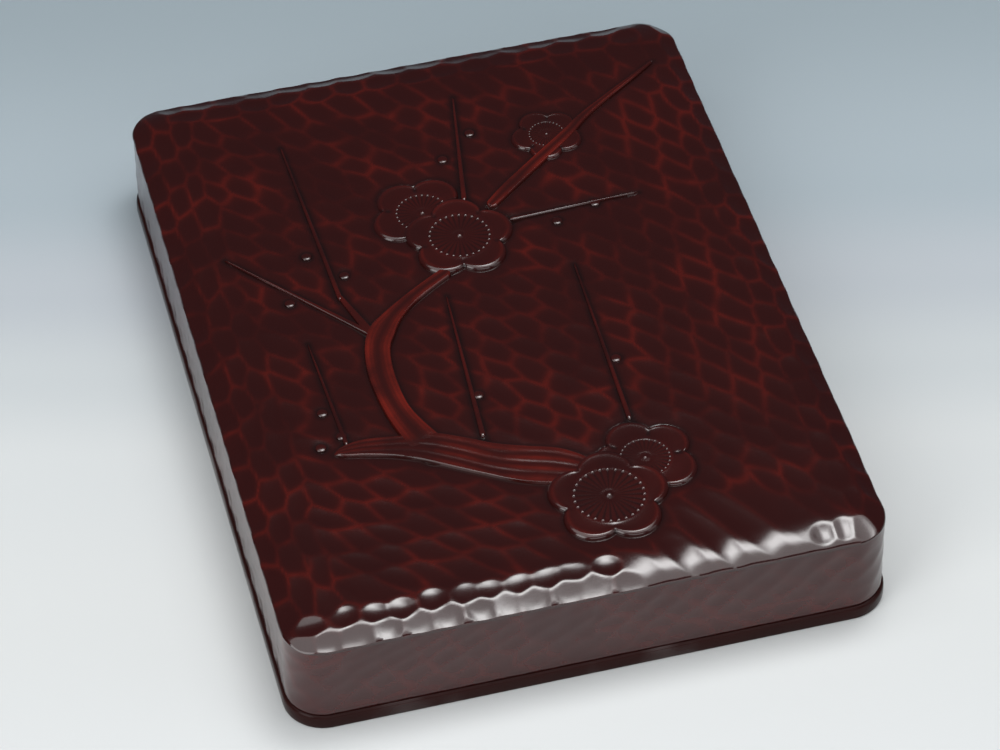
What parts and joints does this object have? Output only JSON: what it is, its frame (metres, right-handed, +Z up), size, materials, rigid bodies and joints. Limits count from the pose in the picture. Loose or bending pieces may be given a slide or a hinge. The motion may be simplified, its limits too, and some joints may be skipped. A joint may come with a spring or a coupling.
{
  "type": "writing box",
  "caption": "Low lacquered writing box with rounded corners, a carved overlapping lid, and an inkstone, water dropper, brush tray, capped brushes and ink stick inside.",
  "frame": {"origin": "middle of the underside, on the plane that the box stands on", "axes": "+X to the right and +Y away from the front, along the long side, as the box is written at; +Z up"},
  "size_m": [0.2016, 0.2676, 0.0406],
  "materials": {
    "carved_lacquer": "gloss lacquer, red worn through on the carved ridges",
    "red_lacquer": "gloss lacquer",
    "rim_lacquer": "gloss lacquer",
    "black_lacquer": "satin lacquer",
    "bamboo": "polished",
    "bamboo_cap": "polished",
    "slate": "honed",
    "copper": "aged",
    "hair": "soft hair",
    "dark_horn": "polished horn",
    "ink": "pressed soot and glue"
  },
  "bodies": {
    "base": {"base_board": "rim_lacquer", "base_front_wall": "black_lacquer", "base_back_wall": "black_lacquer", "base_left_wall": "black_lacquer", "base_right_wall": "black_lacquer", "base_pegs": "bamboo", "partition": "black_lacquer", "left_ledge": "black_lacquer", "right_ledge": "black_lacquer"},
    "lid": {"lid_top_board": "carved_lacquer", "lid_front_wall": "red_lacquer", "lid_back_wall": "red_lacquer", "lid_left_wall": "red_lacquer", "lid_right_wall": "red_lacquer"},
    "stone_board": {"inkstone_board": "black_lacquer"},
    "stone": {"inkstone": "slate"},
    "dropper": {"dropper_shell": "copper", "dropper_top": "copper", "dropper_spout": "copper"},
    "brush_tray": {"tray_floor": "black_lacquer", "tray_left_side": "black_lacquer", "tray_right_side": "black_lacquer", "tray_front_end": "black_lacquer", "tray_back_end": "black_lacquer", "tray_front_rest": "black_lacquer", "tray_back_rest": "black_lacquer"},
    "large_brush": {"large_brush_handle": "bamboo", "large_brush_tuft": "hair", "large_brush_tail": "dark_horn"},
    "large_cap": {"large_brush_cap": "bamboo_cap"},
    "small_brush": {"small_brush_handle": "bamboo", "small_brush_tuft": "hair", "small_brush_tail": "dark_horn"},
    "small_cap": {"small_brush_cap": "bamboo_cap"},
    "ink": {"ink_stick": "ink"}
  },
  "joints": [
    {"name": "lid_lift", "type": "slide", "parent": "base", "child": "lid", "axis": [0, 0, 1], "range_m": [0, 0.18]},
    {"name": "stone_board_lift", "type": "slide", "parent": "base", "child": "stone_board", "axis": [0, 0, 1], "range_m": [0, 0.045]},
    {"name": "stone_lift", "type": "slide", "parent": "base", "child": "stone", "axis": [0, 0, 1], "range_m": [0, 0.09]},
    {"name": "dropper_lift", "type": "slide", "parent": "base", "child": "dropper", "axis": [0, 0, 1], "range_m": [0, 0.09]},
    {"name": "tray_lift", "type": "slide", "parent": "base", "child": "brush_tray", "axis": [0, 0, 1], "range_m": [0, 0.09]},
    {"name": "large_brush_lift", "type": "slide", "parent": "brush_tray", "child": "large_brush", "axis": [0, 0, 1], "range_m": [0, 0.036]},
    {"name": "small_brush_lift", "type": "slide", "parent": "brush_tray", "child": "small_brush", "axis": [0, 0, 1], "range_m": [0, 0.036]},
    {"name": "ink_lift", "type": "slide", "parent": "brush_tray", "child": "ink", "axis": [0, 0, 1], "range_m": [0, 0.036]},
    {"name": "large_cap_pull", "type": "slide", "parent": "large_brush", "child": "large_cap", "axis": [0, -1, 0], "range_m": [0, 0.05]},
    {"name": "small_cap_pull", "type": "slide", "parent": "small_brush", "child": "small_cap", "axis": [0, -1, 0], "range_m": [0, 0.045]}
  ],
  "couplings": [
    {"joint": "stone_board_lift", "follows": "lid_lift", "ratio": 0.25},
    {"joint": "stone_lift", "follows": "lid_lift", "ratio": 0.5},
    {"joint": "dropper_lift", "follows": "lid_lift", "ratio": 0.5},
    {"joint": "tray_lift", "follows": "lid_lift", "ratio": 0.5},
    {"joint": "large_brush_lift", "follows": "lid_lift", "ratio": 0.2},
    {"joint": "small_brush_lift", "follows": "lid_lift", "ratio": 0.2},
    {"joint": "ink_lift", "follows": "lid_lift", "ratio": 0.2}
  ]
}
